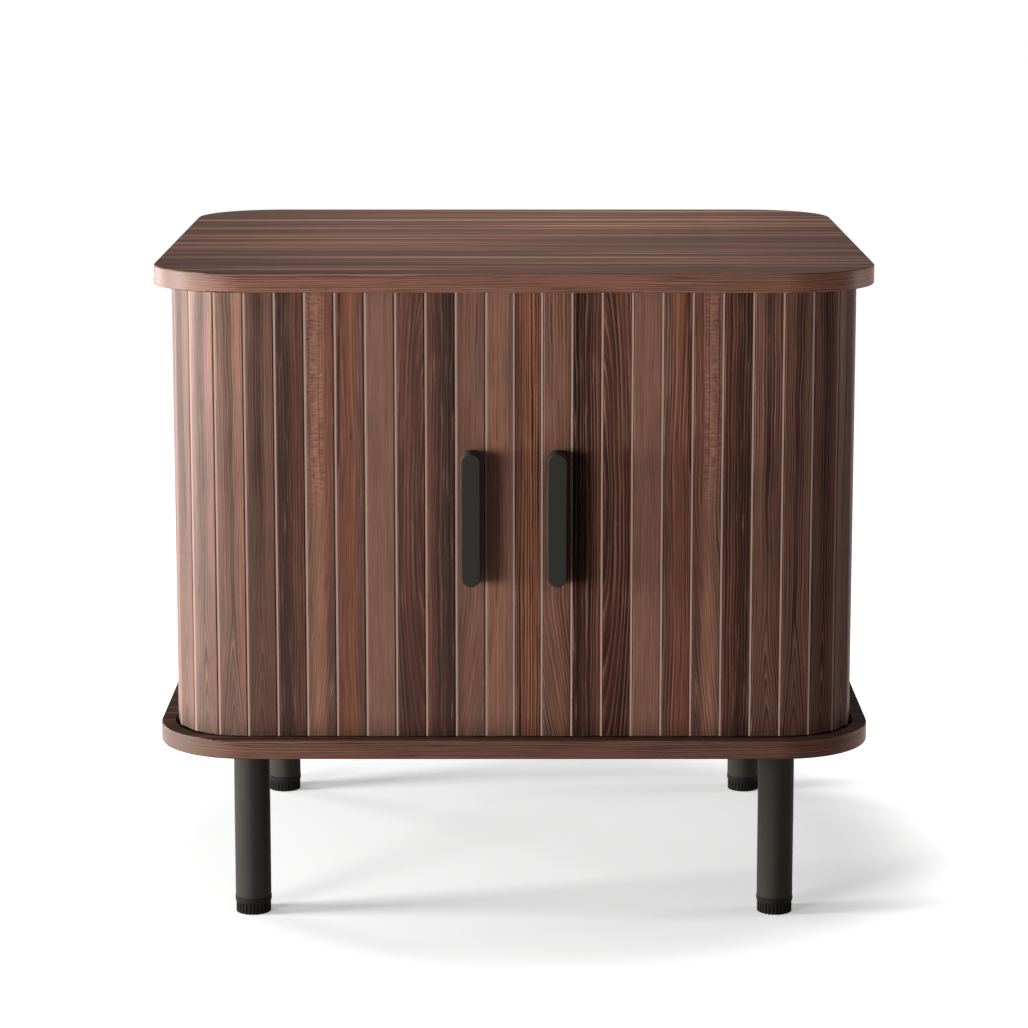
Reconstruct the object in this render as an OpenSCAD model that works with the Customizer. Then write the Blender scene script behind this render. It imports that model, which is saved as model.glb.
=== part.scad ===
// Nightstand with two tambour doors. Millimetres, +Z up, the front faces -Y.
// The origin is on the floor, in the middle of the whole object with its handles.
// Each door is a curtain of upright slats. Its tongues run in a track in the base
// and in the top, along the front, round the front corner and back along the side.

/* [Panels] */
// Width of the top and of the base
panel_w = 600; // [560:1:680]
// Depth of the top and of the base
panel_d = 540; // [500:1:620]
// Radius of the panels' four corners, seen from above
corner_r = 76; // [70:1:90]
// Thickness of the top
top_t = 16; // [14:0.5:24]
// Thickness of the base
base_t = 16; // [16:0.5:24]
// Clear height between the base and the top
body_h = 374; // [300:1:460]
// Radius on the panels' long edges
edge_r = 1.2; // [0.6:0.1:2]

/* [Curtain] */
// How far the slats' faces stand back from the panels' edge
slat_inset = 14; // [12:0.5:20]
// Thickness of a slat
slat_t = 8; // [7:0.5:9]
// Distance from one slat to the next along the curtain
slat_pitch = 24.75; // [23:0.25:26]
// Share of the curtain's length that the leading slat takes
lead_pitch = 23.1; // [21:0.1:26]
// Gap between two slats, bead included
slat_gap = 2.4; // [2.2:0.1:3]
// Width of the pale bead along a slat's outer edge
bead_w = 1.8; // [1:0.1:1.9]
// Thickness of the bead
bead_t = 0.8; // [0.6:0.1:0.9]
// How far the bead stands back from the slats' faces
bead_back = 0.2; // [0.1:0.05:0.3]
// Bevel along a slat's front edges
slat_bevel = 0.5; // [0.4:0.1:1]
// Depth at which a slat's sides start to taper
slat_shoulder = 1.2; // [1.2:0.1:2.5]
// Width of a slat's back face
slat_back_w = 15; // [12:0.5:16]
// Depth of the line, below the face, that keeps its length round the corner
slat_neutral = 1.6; // [1:0.1:2.5]
// Slats in each door
slat_count = 20; // [18:1:22]

/* [Track] */
// Depth of the track in the base and in the top
track_depth = 6; // [4:0.5:8]
// Distance from the slats' faces out to the track's outer wall
track_out = 2; // [1.5:0.1:4]
// Distance from the slats' faces in to the track's inner wall
track_in = 11; // [10.5:0.1:12]
// Width of a slat's tongue along the curtain
tongue_w = 6; // [4:0.5:8]
// Thickness of a slat's tongue across the curtain
tongue_t = 4; // [3:0.5:5]
// Clearance between the tongues and the bottom of the track
tongue_gap = 0.3; // [0.2:0.05:0.8]
// Clearance under the slats
slat_gap_low = 0.4; // [0.3:0.1:1]
// Clearance over the slats
slat_gap_high = 0.8; // [0.5:0.1:1.5]

/* [Handles] */
// Width of a handle
handle_w = 16; // [12:0.5:20]
// Height of a handle
handle_h = 111; // [80:1:160]
// How far a handle stands out from the slats
handle_d = 22; // [16:0.5:30]
// Radius along the handle's front edge
handle_edge = 1; // [0.4:0.1:2]
// Distance between a handle's two screws
handle_screw_span = 64; // [40:1:76]
// Diameter of the handle screws
handle_screw_dia = 4; // [3:0.5:5]
// Depth that the handle screws reach into a handle
handle_screw_bite = 12; // [8:0.5:14]

/* [Shell] */
// How far the side and back shell stands back from the panels' edge
shell_inset = 4; // [3:0.5:5]
// Thickness of the side and back shell
shell_t = 6; // [5:0.5:6.5]
// Depth that the shell is let into the top and the base
shell_housing = 3; // [2:0.5:4]
// Distance from the panels' front edge to the front edge of the side shells
shell_start = 235; // [210:1:240]

/* [Inside] */
// Gap between the slats' backs and the inner walls
wall_gap = 6; // [6:0.5:10]
// Thickness of the inner walls and of the corner guides
wall_t = 15; // [12:0.5:20]
// Thickness of the shelf
shelf_t = 16; // [12:0.5:20]
// Height of the shelf's underside over the base
shelf_rise = 179; // [120:1:200]
// Distance from the inner walls' front edge to the shelf's front edge
shelf_setback = 6; // [2:1:60]
// Gap between the shelf's back edge and the back
shelf_back_gap = 16; // [12:1:30]
// Side clearance of the shelf
shelf_gap = 0.3; // [0.2:0.1:1]
// Diameter of the shelf pins
pin_dia = 5; // [4:0.5:6]
// Length of the shelf pins
pin_len = 17; // [14:1:20]
// Depth of a shelf pin in the wall
pin_seat = 9; // [7:1:10]
// Step between the shelf pin holes
pin_step = 32; // [25:1:40]
// Distance from each end of an inner wall to its shelf pin holes
pin_end = 50; // [40:1:80]
// Diameter of the wall dowels
dowel_dia = 8; // [6:0.5:10]
// Length of the wall dowels
dowel_len = 24; // [20:1:30]
// Depth of a wall dowel in the top or the base
dowel_seat = 10; // [8:0.5:11]
// Dowels at each end of an inner wall
dowel_count = 3; // [2:1:4]

/* [Legs] */
// Height of the base's underside over the floor
leg_h = 154; // [120:1:200]
// Diameter of a leg tube
leg_dia = 30.6; // [26:0.1:36]
// Wall of a leg tube
leg_wall = 2; // [1.5:0.1:3]
// Distance from the panels' edges to the middle of a leg
leg_inset = 76; // [60:1:90]
// Height of the plate welded into a leg's top
cap_h = 6; // [4:0.5:10]
// Height of the threaded bush in a leg's foot end
bush_h = 16; // [12:0.5:20]
// Diameter of the stud that holds a leg, and of a foot's stem
stud_dia = 8; // [6:0.5:10]
// Depth of a leg stud in the base
stud_bite = 9; // [7:0.5:9.5]
// Diameter of the threaded inserts in the base
insert_dia = 13; // [12:0.5:16]

/* [Feet] */
// Height of the part of a foot that shows
foot_h = 14.5; // [13:0.5:20]
// Diameter of a foot's collar
foot_dia = 31.2; // [29:0.1:34]
// Height of a foot's ribbed band
rib_h = 9; // [6:0.5:9.5]
// Height over which the collar flares out above the ribs
flare_h = 2; // [1:0.1:2.5]
// How far the collar flares out
flare = 0.5; // [0.2:0.1:1]
// Radius along the collar's top edge
collar_edge = 0.4; // [0.2:0.1:0.8]
// Ribs round a foot
rib_count = 28; // [20:1:40]
// Depth of the grooves between a foot's ribs
rib_depth = 0.9; // [0.4:0.1:1.2]
// How far the ribs stand back from the foot of the collar
rib_inset = 0.2; // [0.1:0.05:0.5]
// Length of a foot's threaded stem over its shoulder
stem_len = 24; // [20:1:30]

/* [Hidden] */
$fn = 96;
// Radial clearance of pins, screws, dowels and studs in their holes
hole_gap = 0.1;
// Length that a cutting shape runs past the face it cuts
past = 1;

base_z = leg_h + base_t;
top_z = base_z + body_h;
panel_y = (handle_d - slat_inset) / 2;
cx = panel_w / 2 - corner_r;
cy = panel_d / 2 - corner_r;
leg_x = panel_w / 2 - leg_inset;
leg_y = panel_d / 2 - leg_inset;

path_r = corner_r - slat_inset - slat_neutral;
path_arc = path_r * PI / 2;
slat_z0 = base_z + slat_gap_low;
slat_z1 = top_z - slat_gap_high;
tongue_z0 = base_z - track_depth + tongue_gap;
tongue_z1 = top_z + track_depth - tongue_gap;

wall_out = slat_inset + slat_t + wall_gap;
wall_in = wall_out + wall_t;
wall_x0 = panel_w / 2 - wall_in;
wall_x1 = panel_w / 2 - wall_out;
shell_in = shell_inset + shell_t;
wall_back = sqrt(pow(corner_r - shell_in, 2) - pow(wall_x1 - cx, 2)) + cy - shelf_gap;
shelf_z = base_z + shelf_rise;
shelf_y0 = -cy + shelf_setback;
shelf_y1 = panel_d / 2 - shell_in - shelf_back_gap;
pin_ys = [-cy + pin_end, wall_back - pin_end];

screw_head_dia = handle_screw_dia * 1.8;
screw_head_h = handle_screw_dia * 0.6;
handle_z = (base_z + top_z) / 2;

// The last slat that is a node of its own; the rest of the door is its side slats
single_slats = 13;
// The slat that carries the handle
handle_slat = 2;

// Names and places of the four corners, as signs of x and y
left_front = [-1, -1];
right_front = [1, -1];
left_rear = [-1, 1];
right_rear = [1, 1];
corners = [left_front, right_front, left_rear, right_rear];

wood = [0.36, 0.22, 0.17];
wood_light = [0.45, 0.29, 0.22];
inner_wood = [0.62, 0.48, 0.36];
charcoal = [0.19, 0.19, 0.18];
steel = [0.6, 0.6, 0.62];

// Rounded rectangle: the panels' outline pulled in by d
module outline(d) {
    r = corner_r - d;
    square([2 * cx, panel_d - 2 * d], center = true);
    square([panel_w - 2 * d, 2 * cy], center = true);
    for (c = corners)
        translate([c.x * cx, c.y * cy])
            circle(r);
}

// The band of the outline between the insets d_out and d_in
module band(d_out, d_in) {
    difference() {
        outline(d_out);
        outline(d_in);
    }
}

// Cross-section of a board with rounded edges, w wide and t thick, standing on y = 0
module board_section(w, t, r) {
    translate([-w / 2 + r, 0])
        square([w - 2 * r, t]);
    translate([-w / 2, r])
        square([w, t - 2 * r]);
    for (x = [-w / 2 + r, w / 2 - r], y = [r, t - r])
        translate([x, y])
            circle(r, $fn = 32);
}

// Disc with rounded edges
module rounded_disc(radius, t, r) {
    rotate_extrude()
        intersection() {
            board_section(2 * radius, t, r);
            square([radius, t]);
        }
}

// A panel with rounded corners and rounded long edges, from z = 0 to t
module panel(t) {
    for (c = corners)
        translate([c.x * cx, c.y * cy, 0])
            rounded_disc(corner_r, t, edge_r);
    rotate([90, 0, 0])
        linear_extrude(2 * cy, center = true)
            board_section(panel_w, t, edge_r);
    rotate([90, 0, 90])
        linear_extrude(2 * cx, center = true)
            board_section(panel_d, t, edge_r);
}

// Track for both curtains, cut from z = 0 up to its depth
module track() {
    intersection() {
        linear_extrude(track_depth)
            band(slat_inset - track_out, slat_inset + track_in);
        translate([-panel_w / 2, -panel_d / 2, -past])
            cube([panel_w, panel_d / 2 + cy, track_depth + 2 * past]);
    }
}

// The shell's outline seen from above: both sides from shell_start, and the back
module shell_outline() {
    intersection() {
        band(shell_inset, shell_in);
        translate([-panel_w / 2, -panel_d / 2 + shell_start])
            square([panel_w, panel_d - shell_start]);
    }
}

// The part of the shell that belongs to the right side
module side_outline() {
    intersection() {
        shell_outline();
        translate([cx, -panel_d / 2])
            square([corner_r, panel_d]);
    }
}

module shell_panel(z0, z1) {
    translate([0, panel_y, z0])
        linear_extrude(z1 - z0)
            children();
}

// Dowel places on one inner wall, as y
function dowel_ys() = [
    for (i = [0 : dowel_count - 1])
        -cy + pin_end / 2 + i * (wall_back + cy - pin_end) / (dowel_count - 1)
];

// Straight upright pins at every dowel place of one end of both walls
module dowel_set(z, len, dia) {
    for (side = [-1, 1], y = dowel_ys())
        translate([side * (wall_x0 + wall_x1) / 2, panel_y + y, z])
            cylinder(d = dia, h = len);
}

module top_panel() {
    color(wood)
        difference() {
            translate([0, panel_y, top_z])
                panel(top_t);
            translate([0, panel_y, top_z])
                track();
            shell_panel(top_z - past, top_z + shell_housing)
                shell_outline();
            dowel_set(top_z - past, dowel_seat + past, dowel_dia + 2 * hole_gap);
        }
}

module base_panel() {
    color(wood)
        difference() {
            translate([0, panel_y, leg_h])
                panel(base_t);
            translate([0, panel_y, base_z])
                mirror([0, 0, 1])
                    track();
            shell_panel(base_z - shell_housing, base_z + past)
                shell_outline();
            dowel_set(base_z - dowel_seat, dowel_seat + past, dowel_dia + 2 * hole_gap);
            for (c = corners)
                at_leg(c)
                    translate([0, 0, leg_h - past])
                        cylinder(d = insert_dia, h = stud_bite + 2 * past);
        }
}

module back_panel() {
    color(wood)
        shell_panel(base_z - shell_housing, top_z + shell_housing)
            intersection() {
                shell_outline();
                translate([-cx, 0])
                    square([2 * cx, panel_d]);
            }
}

module side_shell() {
    color(wood)
        shell_panel(base_z - shell_housing, top_z + shell_housing)
            side_outline();
}

// Right inner wall: the boundary between the curtain's pocket and the cupboard
module inner_wall() {
    color(inner_wood)
        difference() {
            shell_panel(base_z, top_z)
                translate([wall_x0, -cy])
                    square([wall_t, wall_back + cy]);
            dowel_set(base_z - past, dowel_len - dowel_seat + past, dowel_dia + 2 * hole_gap);
            dowel_set(top_z - dowel_len + dowel_seat, dowel_len, dowel_dia + 2 * hole_gap);
            for (y = pin_ys, step = [-1, 0, 1])
                translate([wall_x0 - past, panel_y + y, shelf_z - pin_dia / 2 + step * pin_step])
                    rotate([0, 90, 0])
                        cylinder(d = pin_dia + 2 * hole_gap, h = pin_seat + past);
        }
}

// Right corner guide: the quarter-round jamb inside the curtain's bend
module corner_guide() {
    color(inner_wood)
        shell_panel(base_z, top_z)
            translate([cx, -cy])
                intersection() {
                    difference() {
                        circle(wall_x1 - cx);
                        circle(wall_x0 - cx);
                    }
                    translate([0, -corner_r])
                        square([corner_r, corner_r]);
                }
}

module shelf() {
    color(inner_wood)
        translate([-wall_x0 + shelf_gap, panel_y + shelf_y0, shelf_z])
            cube([2 * (wall_x0 - shelf_gap), shelf_y1 - shelf_y0, shelf_t]);
}

module shelf_pins() {
    color(steel)
        for (side = [0, 1], y = pin_ys)
            mirror([side, 0, 0])
                translate([wall_x0 + pin_seat - pin_len, panel_y + y, shelf_z - pin_dia / 2])
                    rotate([0, 90, 0])
                        cylinder(d = pin_dia, h = pin_len);
}

module wall_dowels() {
    color(inner_wood) {
        dowel_set(base_z - dowel_seat, dowel_len, dowel_dia);
        dowel_set(top_z + dowel_seat - dowel_len, dowel_len, dowel_dia);
    }
}

// Moves a leg's parts to the corner c
module at_leg(c) {
    translate([c.x * leg_x, panel_y + c.y * leg_y, 0])
        children();
}

module leg(c) {
    color(charcoal)
        at_leg(c)
            translate([0, 0, foot_h])
                difference() {
                    cylinder(d = leg_dia, h = leg_h - foot_h);
                    translate([0, 0, -past])
                        cylinder(d = leg_dia - 2 * leg_wall, h = leg_h - foot_h + 2 * past);
                }
}

// The plates welded into the legs' tops, each bored for its stud
module leg_caps() {
    color(charcoal)
        for (c = corners)
            at_leg(c)
                translate([0, 0, leg_h - cap_h])
                    difference() {
                        cylinder(d = leg_dia - 2 * leg_wall, h = cap_h);
                        translate([0, 0, -past])
                            cylinder(d = stud_dia + 2 * hole_gap, h = cap_h + 2 * past);
                    }
}

module leg_studs() {
    color(steel)
        for (c = corners)
            at_leg(c)
                translate([0, 0, leg_h - 2 * cap_h])
                    cylinder(d = stud_dia, h = 2 * cap_h + stud_bite);
}

module stud_inserts() {
    color(steel)
        for (c = corners)
            at_leg(c)
                translate([0, 0, leg_h])
                    difference() {
                        cylinder(d = insert_dia, h = stud_bite + past);
                        translate([0, 0, -past])
                            cylinder(d = stud_dia + 2 * hole_gap, h = stud_bite + past);
                    }
}

// The threaded bushes that the feet screw into
module leg_bushes() {
    color(steel)
        for (c = corners)
            at_leg(c)
                translate([0, 0, foot_h])
                    difference() {
                        cylinder(d = leg_dia - 2 * leg_wall, h = bush_h);
                        translate([0, 0, -past])
                            cylinder(d = stud_dia + 2 * hole_gap, h = bush_h + 2 * past);
                    }
}

// Outline of a foot's ribbed band: one rib takes four points
module rib_outline() {
    step = 360 / rib_count;
    r = foot_dia / 2 - flare - rib_inset;
    polygon([
        for (i = [0 : rib_count - 1], p = [[0, 1], [0.3, 1], [0.45, 0], [0.85, 0]])
            let (a = (i + p[0]) * step, q = r - (1 - p[1]) * rib_depth)
                [q * cos(a), q * sin(a)]
    ]);
}

// Plain collar above a foot's ribs, flared at its foot and rounded at its top
module collar() {
    r = foot_dia / 2;
    rotate_extrude() {
        polygon([
            [0, rib_h],
            [r - flare, rib_h],
            [r, rib_h + flare_h],
            [r, foot_h - collar_edge],
            [r - collar_edge, foot_h],
            [0, foot_h]
        ]);
        translate([r - collar_edge, foot_h - collar_edge])
            circle(collar_edge, $fn = 32);
    }
}

// Levelling foot: ribbed band, collar and threaded stem
module foot(c) {
    color(charcoal)
        at_leg(c) {
            linear_extrude(rib_h)
                rib_outline();
            collar();
            cylinder(d = stud_dia, h = foot_h + stem_len);
        }
}

// Point of the curtain's neutral line at the length s from the middle of the front
function path(s) =
    let (a = (s - cx) / path_r * 180 / PI)
    s <= cx ? [s, -cy - path_r] :
    s <= cx + path_arc ? [cx + path_r * sin(a), -cy - path_r * cos(a)] :
    [cx + path_r, -cy + s - cx - path_arc];

// Where slat k starts and ends along the curtain
function slat_start(k) = k == 1 ? 0 : lead_pitch + (k - 2) * slat_pitch;
function slat_end(k) = lead_pitch + (k - 1) * slat_pitch;
function slat_w(k) = slat_end(k) - slat_start(k) - slat_gap;

// Section of a slat: face on y = 0, back on y = slat_t
module slat_section(w) {
    polygon([
        [-w / 2 + slat_bevel, 0],
        [w / 2 - slat_bevel, 0],
        [w / 2, slat_bevel],
        [w / 2, slat_shoulder],
        [slat_back_w / 2, slat_t],
        [-slat_back_w / 2, slat_t],
        [-w / 2, slat_shoulder],
        [-w / 2, slat_bevel]
    ]);
}

// Section of the pale bead on a slat's right edge, drawn from where it leaves the bevel
module bead_section(w) {
    inside = slat_bevel - bead_back;
    translate([w / 2 - inside, bead_back])
        square([inside + bead_w, bead_t]);
}

// Moves a slat, drawn about its own middle, to place k of the right door
module at_slat(k) {
    a = path(slat_start(k));
    b = path(slat_end(k));
    translate([(a.x + b.x) / 2, panel_y + (a.y + b.y) / 2, 0])
        rotate(atan2(b.y - a.y, b.x - a.x))
            translate([0, -slat_neutral, 0])
                children();
}

// Slat k of the right door, with its tongues
module slat_solid(k) {
    at_slat(k) {
        translate([0, 0, slat_z0])
            linear_extrude(slat_z1 - slat_z0) {
                slat_section(slat_w(k));
                bead_section(slat_w(k));
            }
        translate([-tongue_w / 2, (slat_t - tongue_t) / 2, tongue_z0])
            cube([tongue_w, tongue_t, tongue_z1 - tongue_z0]);
    }
}

// Bead on the leading edge of the left door, which closes the middle seam
module meeting_bead() {
    at_slat(1)
        translate([0, 0, slat_z0])
            linear_extrude(slat_z1 - slat_z0)
                mirror([1, 0])
                    bead_section(slat_w(1));
}

// Holes for the handle's screws through the slat that carries it
module handle_screw_holes() {
    at_slat(handle_slat)
        for (z = [-1, 1] * handle_screw_span / 2)
            translate([0, 0, handle_z + z])
                rotate([-90, 0, 0]) {
                    translate([0, 0, -past])
                        cylinder(d = handle_screw_dia + 2 * hole_gap, h = slat_t + 2 * past);
                    translate([0, 0, slat_t - screw_head_h - hole_gap])
                        cylinder(d = screw_head_dia + 4 * hole_gap, h = screw_head_h + past);
                }
}

module slat(k, side) {
    color(k % 2 == 0 ? wood : wood_light)
        mirror([side < 0 ? 1 : 0, 0, 0])
            difference() {
                union() {
                    slat_solid(k);
                    if (k == 1 && side < 0)
                        meeting_bead();
                }
                if (k == handle_slat)
                    handle_screw_holes();
            }
}

module side_slats(side) {
    for (k = [single_slats + 1 : slat_count])
        slat(k, side);
}

// Upright bar with round ends and a rounded front edge, screwed on from behind
module handle(side) {
    straight = handle_h - handle_w;
    color(charcoal)
        mirror([side < 0 ? 1 : 0, 0, 0])
            difference() {
                at_slat(handle_slat)
                    translate([0, 0, handle_z])
                        rotate([90, 0, 0])
                            handle_blank(straight);
                at_slat(handle_slat)
                    for (z = [-1, 1] * handle_screw_span / 2)
                        translate([0, past, handle_z + z])
                            rotate([90, 0, 0])
                                cylinder(d = handle_screw_dia + 2 * hole_gap,
                                         h = handle_screw_bite + 2 * past);
            }
}

// The handle lying on z = 0 with its rounded edge up
module handle_blank(straight) {
    for (y = [-1, 1] * straight / 2)
        translate([0, y, 0])
            handle_end();
    rotate([90, 0, 0])
        linear_extrude(straight, center = true)
            handle_section();
}

module handle_section() {
    translate([-handle_w / 2, 0])
        square([handle_w, handle_d - handle_edge]);
    translate([-handle_w / 2 + handle_edge, 0])
        square([handle_w - 2 * handle_edge, handle_d]);
    for (x = [-1, 1] * (handle_w / 2 - handle_edge))
        translate([x, handle_d - handle_edge])
            circle(handle_edge, $fn = 32);
}

module handle_end() {
    rotate_extrude()
        intersection() {
            handle_section();
            square([handle_w, handle_d]);
        }
}

module handle_screws(side) {
    color(steel)
        mirror([side < 0 ? 1 : 0, 0, 0])
            at_slat(handle_slat)
                for (z = [-1, 1] * handle_screw_span / 2)
                    translate([0, slat_t - screw_head_h - hole_gap, handle_z + z]) {
                        rotate([-90, 0, 0])
                            cylinder(d = screw_head_dia, h = screw_head_h);
                        rotate([90, 0, 0])
                            cylinder(d = handle_screw_dia,
                                     h = slat_t - screw_head_h + handle_screw_bite);
                    }
}

top_panel();
base_panel();
back_panel();
mirror([1, 0, 0]) side_shell();  // left_side_shell
side_shell();  // right_side_shell
mirror([1, 0, 0]) inner_wall();  // left_inner_wall
inner_wall();  // right_inner_wall
mirror([1, 0, 0]) corner_guide();  // left_corner_guide
corner_guide();  // right_corner_guide
shelf();
shelf_pins();
wall_dowels();
leg(left_front);  // front_left_leg
leg(right_front);  // front_right_leg
leg(left_rear);  // rear_left_leg
leg(right_rear);  // rear_right_leg
leg_caps();
leg_studs();
stud_inserts();
leg_bushes();
foot(left_front);  // front_left_foot
foot(right_front);  // front_right_foot
foot(left_rear);  // rear_left_foot
foot(right_rear);  // rear_right_foot
for (k = [1 : single_slats]) {
    slat(k, -1);
    slat(k, 1);
}
side_slats(-1);  // left_side_slats
side_slats(1);  // right_side_slats
handle(-1);  // left_handle
handle(1);  // right_handle
handle_screws(-1);  // left_handle_screws
handle_screws(1);  // right_handle_screws
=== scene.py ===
"""Nightstand with slatted tambour doors: finishes, floor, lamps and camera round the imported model."""
import math

import bpy
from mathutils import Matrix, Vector

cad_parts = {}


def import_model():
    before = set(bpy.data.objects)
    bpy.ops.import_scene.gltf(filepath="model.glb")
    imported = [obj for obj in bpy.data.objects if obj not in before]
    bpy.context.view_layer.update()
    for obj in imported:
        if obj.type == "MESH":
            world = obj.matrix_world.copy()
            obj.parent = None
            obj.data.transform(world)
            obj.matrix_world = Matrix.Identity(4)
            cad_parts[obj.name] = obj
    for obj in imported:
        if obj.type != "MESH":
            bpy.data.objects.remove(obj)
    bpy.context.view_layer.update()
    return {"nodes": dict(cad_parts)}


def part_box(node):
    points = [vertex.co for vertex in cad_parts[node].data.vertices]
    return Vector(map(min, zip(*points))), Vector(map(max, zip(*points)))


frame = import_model()
NODES = frame["nodes"]

MM = 0.001
PER_M = 1000.0


def reach(node, axis):
    """Where a node begins and ends at rest along axis 0, 1 or 2, in millimetres."""
    places = [vertex.co[axis] * PER_M for vertex in NODES[node].data.vertices]
    return round(min(places), 2), round(max(places), 2)


# The slats' distance from one to the next, and the heights between which they show
SLAT_W = reach("left_slat_3", 0)[0] - reach("left_slat_4", 0)[0]
FOOT_Z = reach("base_panel", 2)[1]
HEAD_Z = reach("top_panel", 2)[0]


def srgb(red, green, blue):
    """A tone written as it shows on a screen, 0 to 255, as the linear colour that shaders take."""
    def linear(value):
        value /= 255.0
        return value / 12.92 if value <= 0.04045 else ((value + 0.055) / 1.055) ** 2.4
    return (linear(red), linear(green), linear(blue), 1.0)


def dim(tone, level):
    """The tone at another level of lightness."""
    return tuple(level * value for value in tone[:3]) + (1.0,)


# Tones of the veneer
SOOT = srgb(44, 28, 22)
UMBER = srgb(76, 49, 41)
SMOKE = srgb(82, 60, 53)
MOSS = srgb(78, 64, 54)
RUSSET = srgb(108, 68, 57)
WALNUT = srgb(106, 75, 64)
ROSE = srgb(136, 97, 83)
HONEY = srgb(146, 92, 70)
ASH = srgb(122, 94, 80)
CORAL = srgb(146, 101, 84)
PETAL = srgb(168, 126, 110)
PEARL = srgb(152, 124, 113)
# Tones of what the veneer is glued to, the wood inside, the zinc and the coats
CANVAS = srgb(150, 128, 112)
BIRCH = srgb(176, 138, 102)
ZINC_DARK = srgb(150, 152, 156)
ZINC_LIGHT = srgb(168, 170, 174)
COAT_DARK = srgb(53, 51, 47)
COAT_LIGHT = srgb(61, 59, 54)
FOOT_DARK = srgb(33, 32, 30)
FOOT_LIGHT = srgb(41, 40, 37)


class Tree:
    """Short calls that add nodes to a shader tree and join them up."""

    def __init__(self, tree):
        self.tree = tree

    def add(self, kind, **settings):
        node = self.tree.nodes.new(kind)
        for name, value in settings.items():
            setattr(node, name, value)
        return node

    def put(self, socket, value):
        """Joins an output to the socket, or sets the socket to a plain value."""
        if isinstance(value, bpy.types.NodeSocket):
            self.tree.links.new(value, socket)
        else:
            socket.default_value = value

    def math(self, operation, a, b=0.0):
        node = self.add("ShaderNodeMath", operation=operation)
        self.put(node.inputs[0], a)
        self.put(node.inputs[1], b)
        return node.outputs[0]

    def times(self, a, b):
        return self.math("MULTIPLY", a, b)

    def plus(self, a, b):
        return self.math("ADD", a, b)

    def minus(self, a, b):
        return self.math("SUBTRACT", a, b)

    def vector(self, x, y, z):
        node = self.add("ShaderNodeCombineXYZ")
        for socket, value in zip(node.inputs, (x, y, z)):
            self.put(socket, value)
        return node.outputs[0]

    def noise(self, x, y, z, detail=2.0, roughness=0.5):
        """Soft noise from 0 to 1. Where the drawing is flat, z is its seed."""
        node = self.add("ShaderNodeTexNoise")
        self.put(node.inputs["Vector"], self.vector(x, y, z))
        node.inputs["Scale"].default_value = 1.0
        node.inputs["Detail"].default_value = detail
        node.inputs["Roughness"].default_value = roughness
        return node.outputs["Fac"]

    def step(self, value, start, end, at_start=0.0, at_end=1.0):
        """Smooth step from at_start at the start to at_end at the end."""
        node = self.add("ShaderNodeMapRange", interpolation_type="SMOOTHSTEP")
        for socket, given in zip(node.inputs, (value, start, end, at_start, at_end)):
            self.put(socket, given)
        return node.outputs[0]

    def mix(self, share, a, b):
        node = self.add("ShaderNodeMix", data_type="RGBA")
        self.put(node.inputs["Factor"], share)
        self.put(node.inputs[6], a)
        self.put(node.inputs[7], b)
        return node.outputs[2]

    def scale(self, colour, factor):
        node = self.add("ShaderNodeVectorMath", operation="SCALE")
        self.put(node.inputs[0], colour)
        self.put(node.inputs["Scale"], factor)
        return node.outputs[0]

    def place(self):
        """X, Y and Z of the surface point in the object's own frame at rest, in millimetres."""
        node = self.add("ShaderNodeSeparateXYZ")
        self.put(node.inputs[0], self.scale(self.add("ShaderNodeTexCoord").outputs["Object"], PER_M))
        return node.outputs

    def facing(self):
        """X, Y and Z of the surface normal in the object's own frame."""
        node = self.add("ShaderNodeSeparateXYZ")
        self.put(node.inputs[0], self.add("ShaderNodeTexCoord").outputs["Normal"])
        return node.outputs


# What one leaf of veneer is drawn from. Lengths are in millimetres, heights over the floor.
LEAF_INPUTS = {
    "across": 0.0,        # distance from the leaf's inner edge
    "along": 0.0,         # distance along the grain
    "width": 25.0,        # width of the leaf
    "seed": 0.0,
    "level": 1.0,         # how light the leaf is as a whole
    "fade": 0.0,          # share of its lightness that it loses towards the foot
    "inner": WALNUT,      # tone at the inner edge
    "middle": WALNUT,
    "outer": WALNUT,
    "heart": -60.0,       # where the grain's heart line lies across the leaf
    "round": 1.0,         # how blunt the arches are
    "tip": 300.0,         # height at which the arches start
    "oval": 0.0,          # how fast the grain closes round the tip, both ways
    "arch": 0.0,          # how fast the arches spread under the tip
    "wander": 9.0,        # how far the grain drifts from side to side
    "bands": 0.6,         # strength of the broad dark and light bands
    "pitch": 2.6,         # distance from one growth line to the next
    "flecks": 1.3,        # strength of the short dark and light strokes along the grain
    "lines": 0.3,         # strength of the dark growth lines
    "threads": 0.2,       # strength of the fine pale line beside each dark one
    "curl": 0.0,          # strength of the ripples across the grain
    "streak": SOOT,       # tone of one single streak
    "place": 0.0,         # where the streak lies across the leaf at its head
    "lean": 0.0,          # how fast the streak moves outwards on its way down
    "breadth": 2.0,       # breadth of the streak
    "share": 0.0,         # strength of the streak
    "start": 0.0,         # height at which the streak begins to show
    "full": 1.0,          # height at which it shows in full
}
# The noises of a leaf: how fast each runs along its first and second coordinate, what it adds to the
# seed, its detail and its roughness
LEAF_NOISES = {
    "drift": (0.0045, 0.01, 0.0, 2.0, 0.5),
    "swerve": (0.016, 0.03, 3.7, 2.0, 0.5),
    "tremble": (0.09, 0.2, 5.3, 2.0, 0.5),
    "bands": (0.17, 0.0016, 11.3, 1.5, 0.5),
    "fibres": (1.9, 0.02, 31.9, 2.0, 0.5),
    "hairs": (3.4, 0.04, 17.9, 1.0, 0.5),
    "strokes": (0.7, 0.022, 71.0, 3.0, 0.6),
    "weight": (0.1, 0.008, 37.0, 1.0, 0.5),
    "clouds": (0.07, 0.011, 61.0, 2.0, 0.5),
    "spacing": (0.22, 0.0025, 23.1, 1.0, 0.5),
    "waves": (0.16, 0.55, 47.0, 1.0, 0.5),
}
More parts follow.
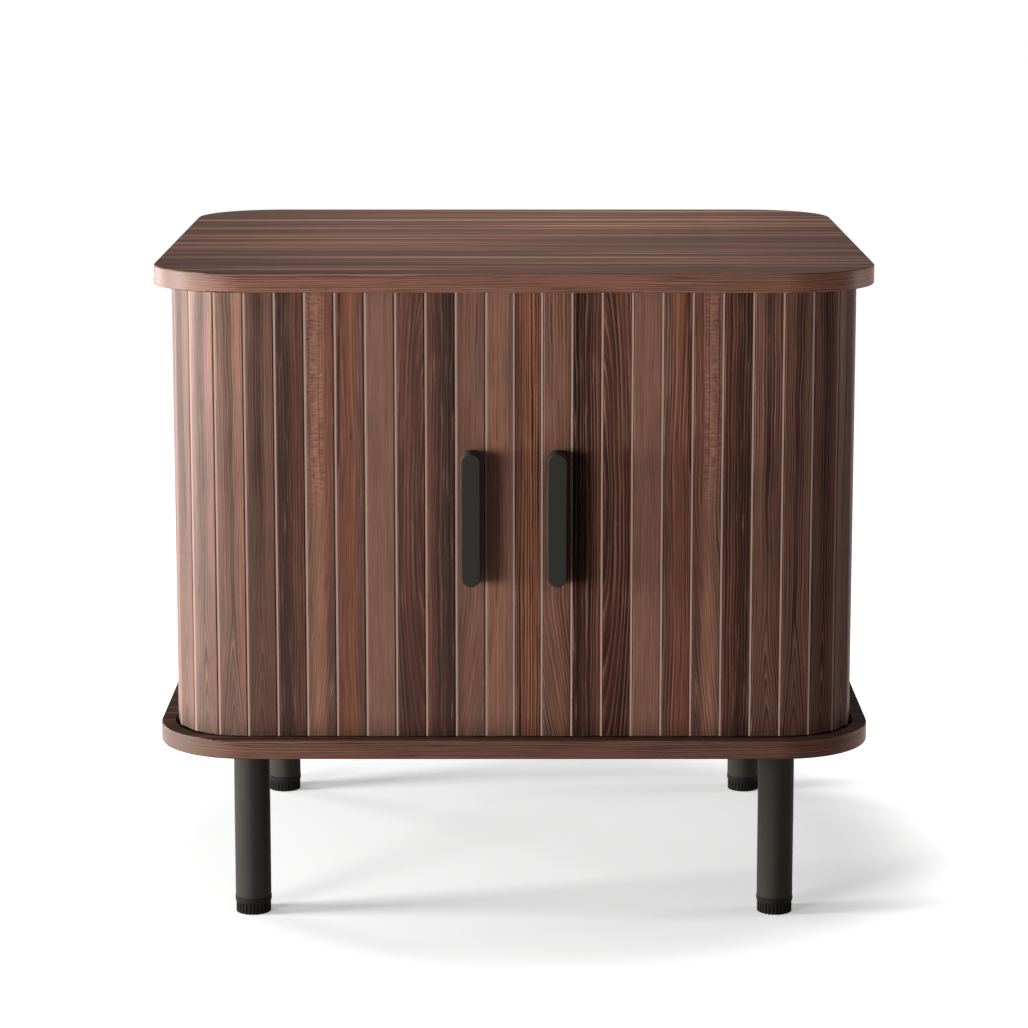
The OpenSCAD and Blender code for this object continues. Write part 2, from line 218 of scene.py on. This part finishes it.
# Between these two a noise has nearly all its values
SOFT_NOISE = (0.3, 0.7)
# How light the fibres, the hairs and the clouds are at both ends of their noise
SOFT_CHANGE = (0.9, 1.1)
# The height of the streak's place, the heights between which a leaf fades, and the painted shade at its
# foot, where the groove in the base shades the slats
STREAK_Z = HEAD_Z - 1.0
FADE_START_Z = HEAD_Z - 24.0
FADE_END_Z = FOOT_Z + 20.0
PAINTED_SHADE_END_Z = FOOT_Z + 22.0
PAINTED_SHADE_AT_FOOT = 0.72
# How slowly the arches start below their tip, and how far on both sides of it the ripples end
ARCH_START = 25.0
CURL_END = 30.0


def veneer_group():
    """Node group that draws one leaf of walnut: tones across it, bands, lines, a streak and curl."""
    group = bpy.data.node_groups.new("walnut_leaf", "ShaderNodeTree")
    for name, value in LEAF_INPUTS.items():
        kind = "NodeSocketColor" if isinstance(value, tuple) else "NodeSocketFloat"
        group.interface.new_socket(name, in_out="INPUT", socket_type=kind)
    group.interface.new_socket("Color", in_out="OUTPUT", socket_type="NodeSocketColor")
    group.interface.new_socket("Height", in_out="OUTPUT", socket_type="NodeSocketFloat")

    t = Tree(group)
    given = t.add("NodeGroupInput").outputs
    across, along, seed = given["across"], given["along"], given["seed"]

    def noise(name, first, second):
        first_rate, second_rate, shift, detail, roughness = LEAF_NOISES[name]
        first, second = t.times(first, first_rate), t.times(second, second_rate)
        return t.noise(first, second, t.plus(seed, shift), detail, roughness)

    # The grain wanders: a slow drift, a swerve now and then and a fine tremble
    drift = t.minus(noise("drift", along, across), 0.5)
    swerve = t.minus(noise("swerve", along, across), 0.5)
    tremble = t.minus(noise("tremble", along, across), 0.5)
    moved = t.plus(t.times(drift, given["wander"]), t.times(swerve, t.times(given["wander"], 0.35)))
    bent = t.plus(t.plus(across, moved), t.times(tremble, 0.7))

    # Ring: distance from the heart, with ovals round the tip and arches that spread below it
    sideways = t.minus(bent, given["heart"])
    rise = t.minus(along, given["tip"])
    oval = t.times(rise, given["oval"])
    squares = t.plus(t.times(sideways, sideways), t.times(oval, oval))
    ring = t.math("SQRT", t.plus(squares, t.times(given["round"], given["round"])))
    below = t.math("MAXIMUM", t.times(rise, -1.0), 0.0)
    spread = t.math("DIVIDE", t.times(below, below), t.plus(below, ARCH_START))
    ring = t.minus(ring, t.times(spread, given["arch"]))

    # Tones from the inner edge to the outer one, then the broad bands
    share = t.math("DIVIDE", t.plus(across, t.times(moved, 0.8)), given["width"])
    tone = t.mix(t.step(share, 0.06, 0.5), given["inner"], given["middle"])
    tone = t.mix(t.step(share, 0.5, 0.94), tone, given["outer"])
    bands = noise("bands", ring, along)
    tone = t.mix(t.times(t.step(bands, 0.48, 0.3), given["bands"]), tone, UMBER)
    tone = t.mix(t.times(t.step(bands, 0.54, 0.74), t.times(given["bands"], 0.5)), tone, HONEY)

    # One single streak, which leans outwards and shows between two heights
    line = t.plus(given["place"], t.times(t.minus(STREAK_Z, along), given["lean"]))
    off = t.math("ABSOLUTE", t.minus(bent, line))
    half = t.times(given["breadth"], 0.5)
    streak = t.step(off, t.times(half, 0.4), t.times(half, 1.6), 1.0, 0.0)
    shown = t.times(t.step(along, given["start"], given["full"]), given["share"])
    tone = t.mix(t.times(streak, shown), tone, given["streak"])

    # Short strokes along the grain, dark and light
    strokes = noise("strokes", ring, along)
    tone = t.mix(t.times(t.step(strokes, 0.45, 0.28, 0.0, 0.5), given["flecks"]), tone, SOOT)
    tone = t.mix(t.times(t.step(strokes, 0.55, 0.74, 0.0, 0.4), given["flecks"]), tone, PETAL)

    # Growth lines, unevenly spaced: each darkens slowly, ends sharply and has a pale line beside it.
    # They are strong in one place and faint in another.
    uneven = t.step(noise("weight", ring, along), 0.3, 0.65, 0.35, 1.25)
    spacing = t.times(noise("spacing", ring, along), 1.8)
    phase = t.math("FRACT", t.plus(t.math("DIVIDE", ring, given["pitch"]), spacing))
    dark = t.times(t.step(phase, 0.35, 0.85), t.step(phase, 1.0, 0.92))
    dark = t.times(dark, t.times(given["lines"], uneven))
    tone = t.mix(dark, tone, SOOT)
    pale = t.step(t.math("ABSOLUTE", t.minus(phase, 0.14)), 0.04, 0.16, 1.0, 0.0)
    tone = t.mix(t.times(pale, t.times(given["threads"], uneven)), tone, PETAL)

    # Fibres along the rings, hairs along the grain and soft clouds
    fibres = noise("fibres", ring, along)
    tone = t.scale(tone, t.step(fibres, *SOFT_NOISE, *SOFT_CHANGE))
    tone = t.scale(tone, t.step(noise("hairs", bent, along), *SOFT_NOISE, *SOFT_CHANGE))
    tone = t.scale(tone, t.step(noise("clouds", across, along), *SOFT_NOISE, *SOFT_CHANGE))

    # Curl: short ripples across the grain in the middle of the leaf, above the tip
    middle = t.times(t.step(share, 0.22, 0.38), t.step(share, 0.92, 0.76))
    middle = t.times(middle, t.step(rise, -CURL_END, CURL_END))
    waves = t.minus(noise("waves", bent, along), 0.5)
    curl = t.plus(1.0, t.times(waves, t.times(middle, given["curl"])))

    # The leaf's own level, which falls towards the foot, and a painted shade just over the foot, where
    # the groove shades the slat
    fall = t.minus(1.0, t.times(given["fade"], t.step(along, FADE_START_Z, FADE_END_Z)))
    fall = t.times(fall, t.step(along, FOOT_Z, PAINTED_SHADE_END_Z, PAINTED_SHADE_AT_FOOT, 1.0))
    tone = t.scale(tone, t.times(t.times(given["level"], fall), curl))

    leaving = t.add("NodeGroupOutput")
    t.put(leaving.inputs["Color"], tone)
    t.put(leaving.inputs["Height"], t.minus(fibres, t.times(dark, 0.8)))
    return group


LEAF_GROUP = veneer_group()

# The leaves of veneer, counted from the middle of the front. They are cut from one bundle, so the
# right door mirrors the left one, as book matching does.
FAR_LEAF = {
    "level": 0.6, "bands": 0.35, "heart": 11.0, "round": 1.6, "tip": 280.0, "arch": 0.085, "wander": 11.0,
    "pitch": 2.1, "lines": 0.5, "threads": 0.35, "flecks": 0.8,
    "streak": SMOKE, "breadth": 9.0, "share": 0.75, "start": 250.0, "full": 420.0,
}
LEAVES = {
    1: {"level": 0.95, "tones": (ROSE, CORAL, ROSE), "lines": 0.35, "wander": 4.0, "bands": 0.3},
    2: {"level": 0.8, "tones": (ROSE, CORAL, WALNUT), "fade": 0.05, "heart": -6.0, "tip": 300.0,
        "arch": 0.16, "lines": 0.35, "threads": 0.3, "bands": 0.3},
    3: {"level": 0.95, "tones": (SOOT, UMBER, RUSSET), "fade": 0.1, "heart": -20.0, "lines": 0.4,
        "threads": 0.3, "pitch": 3.0, "streak": SOOT, "place": 6.0, "lean": 0.02, "breadth": 8.0,
        "share": 0.3},
    4: {"level": 1.0, "tones": (RUSSET, RUSSET, RUSSET), "fade": 0.4, "heart": -3.0, "tip": 375.0,
        "oval": 0.085, "pitch": 3.0, "lines": 0.5, "threads": 0.35, "bands": 0.7, "streak": SOOT,
        "place": 6.0, "breadth": 8.0, "share": 0.35},
    5: {"level": 0.92, "tones": (ROSE, ROSE, ROSE), "lines": 0.12, "threads": 0.1, "bands": 0.3,
        "flecks": 0.6},
    6: {"level": 0.94, "tones": (WALNUT, HONEY, RUSSET), "fade": 0.12, "lines": 0.4, "threads": 0.25,
        "streak": SOOT, "bands": 0.4, "place": 17.5, "lean": 0.035, "breadth": 2.2, "share": 0.9,
        "start": 340.0, "full": 420.0},
    7: {"level": 1.08, "tones": (RUSSET, CORAL, WALNUT), "heart": -4.0, "tip": 370.0, "arch": 0.1,
        "curl": 1.5, "lines": 0.35, "bands": 0.3, "streak": SMOKE, "place": 3.0, "breadth": 7.0,
        "share": 0.85, "start": 330.0, "full": 250.0},
    8: {"level": 0.85, "tones": (RUSSET, UMBER, UMBER), "fade": 0.05, "lines": 0.4, "threads": 0.25,
        "streak": SOOT, "bands": 0.4, "place": 16.0, "breadth": 9.0, "share": 0.4},
    9: dict(FAR_LEAF, level=0.76, fade=0.32, tones=(ROSE, ROSE, ASH), place=13.0),
    10: dict(FAR_LEAF, level=1.12, fade=0.27, tones=(ROSE, ASH, ASH), place=13.0),
    11: dict(FAR_LEAF, level=0.9, fade=0.4, tones=(ROSE, ASH, PEARL), place=12.0),
    12: dict(FAR_LEAF, level=0.54, tones=(ROSE, ASH, ROSE), place=14.0),
    13: dict(FAR_LEAF, tones=(ROSE, ROSE, ASH), place=11.0),
}
# Where the right door differs: red, strongly lined wood beside the seam, and duller wood at the corner
RIGHT_CHANGES = {
    1: {"level": 1.04, "tones": (RUSSET, HONEY, RUSSET), "pitch": 2.3, "lines": 0.75},
    2: {"level": 0.88, "fade": 0.15},
    6: {"level": 1.05, "fade": 0.22},
    9: {"level": 0.88, "fade": 0.35, "tones": (ROSE, ROSE, RUSSET)},
    10: {"level": 0.85, "fade": 0.2, "tones": (ROSE, CORAL, ROSE)},
    11: {"level": 0.84, "fade": 0.25, "tones": (ROSE, RUSSET, ROSE)},
    12: {"level": 0.85, "fade": 0.35, "tones": (ROSE, RUSSET, RUSSET)},
    13: {"level": 0.75, "fade": 0.35, "tones": (ROSE, RUSSET, RUSSET)},
}
LEFT, RIGHT = -1, 1
# How strong the lines, how light the leaves and how glossy the coat are on each door
CRISP = {LEFT: 0.7, RIGHT: 1.35}
DOOR_LEVEL = {LEFT: 1.0, RIGHT: 1.12}
SATIN = {LEFT: 0.12, RIGHT: 0.02}
# The pale bead, which fades slat by slat past this one, round the corner. On the right door it is painted
# lighter, as painted light that makes up for the lamps' light falling off to the right.
BEAD = {LEFT: srgb(182, 152, 138), RIGHT: srgb(202, 168, 153)}
LAST_PLAIN_BEAD = 9
BEAD_FADE = 0.22
# Where the bead begins beyond a slat's flat face, and how far before the end of a slat on the side
BEAD_START = 0.7
SIDE_BEAD = 2.2
# How far before the first slat on the side the count of its slats starts
SIDE_START = 0.5
# How far the seed moves from one slat to the next, on the front and on the side
SEED_STEP = 5.0
SIDE_SEED_STEP = 9.0
# How deep the veneer goes, and how far from the front a point still counts as the flat face
VENEER_T = 1.1
FACE_SLACK = 0.05
# The tongues in the grooves are painted dark, as painted shade in the grooves: where they begin over the
# base and under the top
FOOT_TONGUE = 0.4
HEAD_TONGUE = 0.8
SLAT_ROUGHNESS = 0.45
# How strong the bump is, and how deep on slats, boards and coats
BUMP_STRENGTH = 0.6
SLAT_BUMP = 0.08
BOARD_BUMP = 0.06
COAT_BUMP = 0.05


def new_material(name):
    """A material with an empty tree but for its Principled shader, which is joined to the output."""
    material = bpy.data.materials.new(name)
    material.use_nodes = True
    return material, Tree(material.node_tree), material.node_tree.nodes["Principled BSDF"].inputs


def add_bump(t, height, depth_mm, normal_socket):
    bump = t.add("ShaderNodeBump")
    bump.inputs["Strength"].default_value = BUMP_STRENGTH
    bump.inputs["Distance"].default_value = depth_mm * MM
    t.put(bump.inputs["Height"], height)
    t.put(normal_socket, bump.outputs["Normal"])


def leaf(t, across, along, width, seed, tones=(WALNUT, WALNUT, WALNUT), **changes):
    """One leaf of veneer: its colour and its height for bump."""
    node = t.add("ShaderNodeGroup", node_tree=LEAF_GROUP)
    values = dict(LEAF_INPUTS, across=across, along=along, width=width, seed=seed)
    values.update(zip(("inner", "middle", "outer"), tones))
    values.update(changes)
    for name, value in values.items():
        t.put(node.inputs[name], value)
    return node.outputs["Color"], node.outputs["Height"]


def slat_leaf(t, across, along, seed, side, settings):
    """A slat's leaf, as light and as crisply lined as its door has them."""
    values = dict(settings)
    values["level"] = values.get("level", 1.0) * DOOR_LEVEL[side]
    for name in ("lines", "threads"):
        values[name] = values.get(name, LEAF_INPUTS[name]) * CRISP[side]
    return leaf(t, across, along, SLAT_W, seed, **values)


def face_of(node, side):
    """A slat's flat face at rest: its middle, its normal, the way outwards along it, half its width."""
    mesh = NODES[node].data
    areas = {}
    for polygon in mesh.polygons:
        key = tuple(round(value, 1) for value in polygon.normal)
        area, normal = areas.get(key, (0.0, Vector()))
        areas[key] = (area + polygon.area, normal + polygon.area * polygon.normal)
    normal = max(areas.values(), key=lambda found: found[0])[1].normalized()
    outwards = Vector((-normal.y, normal.x, 0.0)) * side
    front = max(vertex.co.dot(normal) for vertex in mesh.vertices)
    spread = [
        vertex.co.dot(outwards) for vertex in mesh.vertices
        if front - vertex.co.dot(normal) < FACE_SLACK * MM
    ]
    middle = normal * front + outwards * (min(spread) + max(spread)) / 2
    return middle, normal, outwards, (max(spread) - min(spread)) / 2 * PER_M


def finish_slat(t, shader, colour, height, bead, depth, z, side):
    """What all slats share: the wood behind the veneer, the pale bead, tongues painted dark as painted
    shade in the grooves, and the coat.
    """
    colour = t.mix(t.math("GREATER_THAN", depth, VENEER_T), colour, CANVAS)
    # The bead, painted lighter on the right door to make up for the lamps' fall-off to the right
    colour = t.mix(bead, colour, BEAD[side])
    # Tongues over the base and under the top painted dark: painted shade in the grooves
    foot = t.math("LESS_THAN", z, FOOT_Z + FOOT_TONGUE)
    head = t.math("GREATER_THAN", z, HEAD_Z - HEAD_TONGUE)
    colour = t.mix(t.math("MAXIMUM", foot, head), colour, SOOT)
    t.put(shader["Base Color"], colour)
    shader["Roughness"].default_value = SLAT_ROUGHNESS
    shader["Specular IOR Level"].default_value = SATIN[side]
    add_bump(t, height, SLAT_BUMP, shader["Normal"])


def slat_material(node, side, number):
    """Veneered slat with its leaf on the face and the pale bead on the outer edge."""
    middle, normal, outwards, half = face_of(node, side)
    material, t, shader = new_material("slat_" + node)
    x, y, z = t.place()
    dx = t.minus(x, middle.x * PER_M)
    dy = t.minus(y, middle.y * PER_M)
    across = t.plus(t.times(dx, outwards.x), t.times(dy, outwards.y))
    depth = t.times(t.plus(t.times(dx, normal.x), t.times(dy, normal.y)), -1.0)
    settings = dict(LEAVES[number])
    if side == RIGHT:
        settings.update(RIGHT_CHANGES.get(number, {}))
    colour, height = slat_leaf(t, t.plus(across, half), z, SEED_STEP * number, side, settings)
    bead = t.math("GREATER_THAN", t.math("ABSOLUTE", across), half + BEAD_START)
    bead = t.times(bead, 1.0 - BEAD_FADE * max(0, number - LAST_PLAIN_BEAD))
    finish_slat(t, shader, colour, height, bead, depth, z, side)
    return material


def side_slats_material(node, side):
    """The slats along the side: each takes its leaf by chance from its own number."""
    low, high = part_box(node)
    material, t, shader = new_material("slats_" + node)
    x, y, z = t.place()
    counted = t.math("DIVIDE", t.minus(y, low.y * PER_M - SIDE_START), SLAT_W)
    number = t.math("FLOOR", counted)
    across = t.times(t.math("FRACT", counted), SLAT_W)
    draw = t.add("ShaderNodeTexWhiteNoise", noise_dimensions="1D")
    t.put(draw.inputs["W"], t.plus(number, 0.5))
    chance = draw.outputs["Value"]
    tones = (t.mix(chance, UMBER, ROSE), t.mix(chance, WALNUT, SMOKE), WALNUT)
    seed = t.times(number, SIDE_SEED_STEP)
    colour, height = slat_leaf(t, across, z, seed, side, {"tones": tones, "lines": 0.4})
    bead = t.math("GREATER_THAN", across, SLAT_W - SIDE_BEAD)
    face = high.x if side == RIGHT else low.x
    depth = t.math("ABSOLUTE", t.minus(x, face * PER_M))
    finish_slat(t, shader, colour, height, bead, depth, z, side)
    return material


# Width of the leaves on the boards, the side shells and the back
BOARD_LEAF_W = 900.0
SHELL_SEED = 14.0
SHELL_ROUGHNESS = 0.7
SHELL_GLOSS = 0.06


def shell_material(name, side):
    """Veneer with upright grain on a side shell and the back: it runs on round the rear corner."""
    material, t, shader = new_material(name)
    x, y, z = t.place()
    round_corner = t.minus(y, t.times(x, side))
    tones = (ASH, WALNUT, ASH)
    colour, height = leaf(t, round_corner, z, BOARD_LEAF_W, SHELL_SEED, tones, lines=0.3)
    t.put(shader["Base Color"], colour)
    shader["Roughness"].default_value = SHELL_ROUGHNESS
    shader["Specular IOR Level"].default_value = SHELL_GLOSS
    add_bump(t, height, BOARD_BUMP, shader["Normal"])
    return material


# The veneer on a board's face and on its edge
FACE_LEAF = {"heart": -420.0, "lines": 0.3, "threads": 0.2, "bands": 0.4, "wander": 5.0}
EDGE_LEAF = {"heart": -20.0, "wander": 7.0, "pitch": 1.9, "lines": 0.55, "threads": 0.6, "bands": 0.4}
EDGE_LEAF_W = 30.0
EDGE_SEED = 50.0
# Stripes on a board's face, broad, middling and narrow: how fast the noise runs across and along the
# grain, what it adds to the seed, its detail and roughness. Each lays on tones: from where to where in
# the noise, how strong, and which.
STRIPES = (
    ((0.022, 0.0018, 0.0, 1.0, 0.5), ((0.5, 0.4, 0.7, MOSS),)),
    ((0.05, 0.0007, 9.0, 2.5, 0.8), ((0.5, 0.44, 0.9, MOSS), (0.52, 0.58, 0.75, PETAL))),
    ((0.13, 0.001, 19.0, 2.0, 0.75), ((0.52, 0.6, 0.65, RUSSET), (0.47, 0.38, 0.6, SOOT))),
)
# Painted light and shade on a face: lighter in the middle with painted shade towards both ends, a painted
# sheen towards the rear and painted shade towards the right. From where to where, and how light it is
# there and there
FACE_PAINTED_FALLOFF_TO_ENDS = (120.0, 300.0, 1.15, 0.85)
FACE_PAINTED_SHEEN_TO_REAR = (60.0, 270.0, 1.0, 1.2)
FACE_PAINTED_SHADING_TO_RIGHT = (50.0, 300.0, 1.0, 0.9)
# The edge is redder at its right end, painted lighter on the left, where the lamps stand, and carries a
# painted pearly highlight at its left end, by x
EDGE_RED = (180.0, 285.0)
EDGE_PAINTED_LIGHT_LEFT = (-20.0, -200.0, 1.0, 1.12)
EDGE_PAINTED_HIGHLIGHT = (-215.0, -280.0, 0.0, 0.9)
PAINTED_HIGHLIGHT_LEVEL = 0.43
# Where the surface's normal rises less than this, it is the edge
EDGE_RISE = 0.6
FACE_ROUGHNESS = 0.82
EDGE_ROUGHNESS = 0.42


def panel_material(name, seed, level, edge_level, gloss):
    """Veneered board. The grain runs from left to right, and the edges have their own band."""
    material, t, shader = new_material(name)
    x, y, z = t.place()
    face = leaf(t, y, x, BOARD_LEAF_W, seed, (ROSE, ROSE, ROSE), level=level, **FACE_LEAF)[0]
    for (over, along, shift, detail, roughness), laid_on in STRIPES:
        stripes = t.noise(t.times(y, over), t.times(x, along), seed + shift, detail, roughness)
        for start, end, strength, tone in laid_on:
            face = t.mix(t.step(stripes, start, end, 0.0, strength), face, dim(tone, level))
    # Painted light and shade: lighter in the middle, darker at both ends and to the right, a painted
    # sheen to the rear
    face = t.scale(face, t.step(t.math("ABSOLUTE", x), *FACE_PAINTED_FALLOFF_TO_ENDS))
    face = t.scale(face, t.step(y, *FACE_PAINTED_SHEEN_TO_REAR))
    face = t.scale(face, t.step(x, *FACE_PAINTED_SHADING_TO_RIGHT))

    warm = t.mix(t.step(x, *EDGE_RED), CORAL, HONEY)
    band, height = leaf(t, z, t.plus(x, t.times(y, 0.4)), EDGE_LEAF_W, seed + EDGE_SEED,
                        (warm, warm, warm), level=edge_level, **EDGE_LEAF)
    # Painted light on the left of the edge, and a painted pearly highlight at its left end
    band = t.scale(band, t.step(x, *EDGE_PAINTED_LIGHT_LEFT))
    band = t.mix(t.step(x, *EDGE_PAINTED_HIGHLIGHT), band, dim(PEARL, PAINTED_HIGHLIGHT_LEVEL * edge_level))

    edge = t.math("LESS_THAN", t.math("ABSOLUTE", t.facing()[2]), EDGE_RISE)
    t.put(shader["Base Color"], t.mix(edge, face, band))
    t.put(shader["Roughness"], t.plus(t.times(edge, EDGE_ROUGHNESS - FACE_ROUGHNESS), FACE_ROUGHNESS))
    shader["Specular IOR Level"].default_value = gloss
    add_bump(t, height, BOARD_BUMP, shader["Normal"])
    return material


INNER_SEED = 4.0
INNER_ROUGHNESS = 0.6


def inner_wood_material():
    """Plain lacquered wood for what is inside."""
    material, t, shader = new_material("inner_wood")
    x, y, z = t.place()
    across = t.plus(x, t.times(y, 1.3))
    grain = t.noise(t.times(across, 0.09), t.times(z, 0.004), INNER_SEED, detail=4.0)
    t.put(shader["Base Color"], t.mix(t.step(grain, *SOFT_NOISE), WALNUT, BIRCH))
    shader["Roughness"].default_value = INNER_ROUGHNESS
    return material


GRIT_RATE = 2.2
COAT_ROUGHNESS = (0.52, 0.6)
COAT_GLOSS = 0.02


def powder_coat_material(name, dark, light):
    """Matte coat on metal with a fine grit."""
    material, t, shader = new_material(name)
    x, y, z = t.place()
    grit = t.noise(t.times(x, GRIT_RATE), t.times(y, GRIT_RATE), t.times(z, GRIT_RATE))
    t.put(shader["Base Color"], t.mix(grit, dark, light))
    t.put(shader["Roughness"], t.step(grit, *SOFT_NOISE, *COAT_ROUGHNESS))
    shader["Specular IOR Level"].default_value = COAT_GLOSS
    add_bump(t, grit, COAT_BUMP, shader["Normal"])
    return material


BRUSH_RATE = 0.6
BRUSH_RATE_Z = 6.0
STEEL_ROUGHNESS = (0.28, 0.42)


def steel_material():
    """Zinc-plated steel for the small parts."""
    material, t, shader = new_material("zinc_steel")
    x, y, z = t.place()
    x, y, z = t.times(x, BRUSH_RATE), t.times(y, BRUSH_RATE), t.times(z, BRUSH_RATE_Z)
    brushed = t.noise(x, y, z, detail=3.0)
    t.put(shader["Base Color"], t.mix(brushed, ZINC_DARK, ZINC_LIGHT))
    t.put(shader["Roughness"], t.step(brushed, *SOFT_NOISE, *STEEL_ROUGHNESS))
    shader["Metallic"].default_value = 1.0
    return material


def paint(node, material):
    slots = NODES[node].data.materials
    slots.clear()
    slots.append(material)


def dress():
    """Gives each node its material."""
    for side, hand in ((LEFT, "left"), (RIGHT, "right")):
        for number in LEAVES:
            node = f"{hand}_slat_{number}"
            paint(node, slat_material(node, side, number))
        node = hand + "_side_slats"
        paint(node, side_slats_material(node, side))
    paint("top_panel", panel_material("walnut_top", seed=3.0, level=1.3, edge_level=1.3, gloss=0.08))
    # The base's face is drawn dark: painted shade, where the top and the slats keep the light off it
    paint("base_panel", panel_material("walnut_base", seed=8.0, level=0.48, edge_level=0.8, gloss=0.08))
    shell = shell_material("walnut_shell_left", LEFT)
    paint("left_side_shell", shell)
    paint("back_panel", shell)
    paint("right_side_shell", shell_material("walnut_shell_right", RIGHT))

    coat = powder_coat_material("powder_coat", COAT_DARK, COAT_LIGHT)
    foot_coat = powder_coat_material("foot_coat", FOOT_DARK, FOOT_LIGHT)
    steel = steel_material()
    wood = inner_wood_material()
    painted = {node for node in NODES if "slat" in node or "shell" in node or "_panel" in node}
    for node in sorted(set(NODES) - painted):
        if "screws" in node or node in ("shelf_pins", "leg_studs", "stud_inserts", "leg_bushes"):
            paint(node, steel)
        elif "foot" in node:
            paint(node, foot_coat)
        elif "leg" in node or "handle" in node:
            paint(node, coat)
        else:
            paint(node, wood)


def seen_directly(t):
    """1 for camera, glossy and transmission rays, 0 for the rays that carry plain light."""
    rays = t.add("ShaderNodeLightPath").outputs
    shiny = t.math("MAXIMUM", rays["Is Glossy Ray"], rays["Is Transmission Ray"])
    return t.math("MAXIMUM", rays["Is Camera Ray"], shiny)


WHITE = (1.0, 1.0, 1.0, 1.0)
FLOOR_SIZE = 60.0
# What the floor gives back to the object, and how its own glow grows with the distance from the middle
FLOOR_GREY = (0.35, 0.35, 0.35, 1.0)
FLOOR_GLOW = (290.0, 490.0, 0.325, 1.0)


def floor():
    """Pale floor. It is seen white, fully so away from the object, with the shadows kept soft."""
    bpy.ops.mesh.primitive_plane_add(size=FLOOR_SIZE)
    plane = bpy.context.object
    plane.name = "floor"
    material = bpy.data.materials.new("floor")
    material.use_nodes = True
    t = Tree(material.node_tree)
    material.node_tree.nodes.remove(material.node_tree.nodes["Principled BSDF"])
    plain = t.add("ShaderNodeBsdfDiffuse")
    plain.inputs["Color"].default_value = FLOOR_GREY
    shown = t.add("ShaderNodeBsdfDiffuse")
    shown.inputs["Color"].default_value = WHITE
    x, y, _ = t.place()
    away = t.math("SQRT", t.plus(t.times(x, x), t.times(y, y)))
    glow = t.add("ShaderNodeEmission")
    t.put(glow.inputs["Strength"], t.step(away, *FLOOR_GLOW))
    both = t.add("ShaderNodeAddShader")
    t.put(both.inputs[0], shown.outputs[0])
    t.put(both.inputs[1], glow.outputs[0])
    choice = t.add("ShaderNodeMixShader")
    t.put(choice.inputs[0], seen_directly(t))
    t.put(choice.inputs[1], plain.outputs[0])
    t.put(choice.inputs[2], both.outputs[0])
    t.put(material.node_tree.nodes["Material Output"].inputs["Surface"], choice.outputs[0])
    plane.data.materials.append(material)


ROOM_FILL = 0.02


def world():
    """A white backdrop all round for the camera and for gloss, in a room that is otherwise dark."""
    made = bpy.data.worlds.new("studio")
    bpy.context.scene.world = made
    made.use_nodes = True
    t = Tree(made.node_tree)
    background = made.node_tree.nodes["Background"]
    background.inputs["Color"].default_value = WHITE
    seen = seen_directly(t)
    t.put(background.inputs["Strength"], t.plus(seen, t.times(t.minus(1.0, seen), ROOM_FILL)))


# The lamps on stands: degrees from the front towards the left, and watts
STAND_LAMPS = {"key": (40, 34.0), "side": (80, 115.0), "back": (125, 23.0), "right": (-98, 18.0)}
STAND_REACH = 2.5
STAND_Z = 0.45
STAND_TARGET = (0.0, 0.0, 0.36)
STAND_LAMP_SIZE = 0.7
OVERHEAD = {"place": (0.0, 0.2, 1.25), "target": (0.0, 0.15, 0.56), "size": 0.5, "watts": 3.2}


def lamp(name, place, target, size, watts):
    data = bpy.data.lights.new(name, "AREA")
    data.shape = "RECTANGLE"
    data.size, data.size_y, data.energy = size, size, watts
    made = bpy.data.objects.new(name, data)
    bpy.context.scene.collection.objects.link(made)
    made.location = place
    made.rotation_euler = (Vector(target) - Vector(place)).to_track_quat("-Z", "Y").to_euler()


def lamps():
    """Soft lamps on stands round the cabinet, about as high as it is, and one overhead."""
    for name, (angle, watts) in STAND_LAMPS.items():
        turn = math.radians(angle)
        place = (-STAND_REACH * math.sin(turn), -STAND_REACH * math.cos(turn), STAND_Z)
        lamp(name, place, STAND_TARGET, STAND_LAMP_SIZE, watts)
    lamp("overhead", **OVERHEAD)


# The camera as it was fitted to the photograph's edges
CAMERA_PLACE = (0.0, -2.8891, 0.8645)
CAMERA_DOWN = 9.318
SENSOR = 36.0
LENS = 114.0
SHIFT_Y = -0.085
CLIP_END = 100.0


def camera():
    data = bpy.data.cameras.new("camera")
    data.sensor_width, data.lens, data.shift_y = SENSOR, LENS, SHIFT_Y
    data.clip_end = CLIP_END
    made = bpy.data.objects.new("camera", data)
    bpy.context.scene.collection.objects.link(made)
    made.location = CAMERA_PLACE
    made.rotation_euler = (math.radians(90.0 - CAMERA_DOWN), 0.0, 0.0)
    bpy.context.scene.camera = made


dress()
floor()
world()
lamps()
camera()
bpy.context.scene.view_settings.view_transform = "Standard"
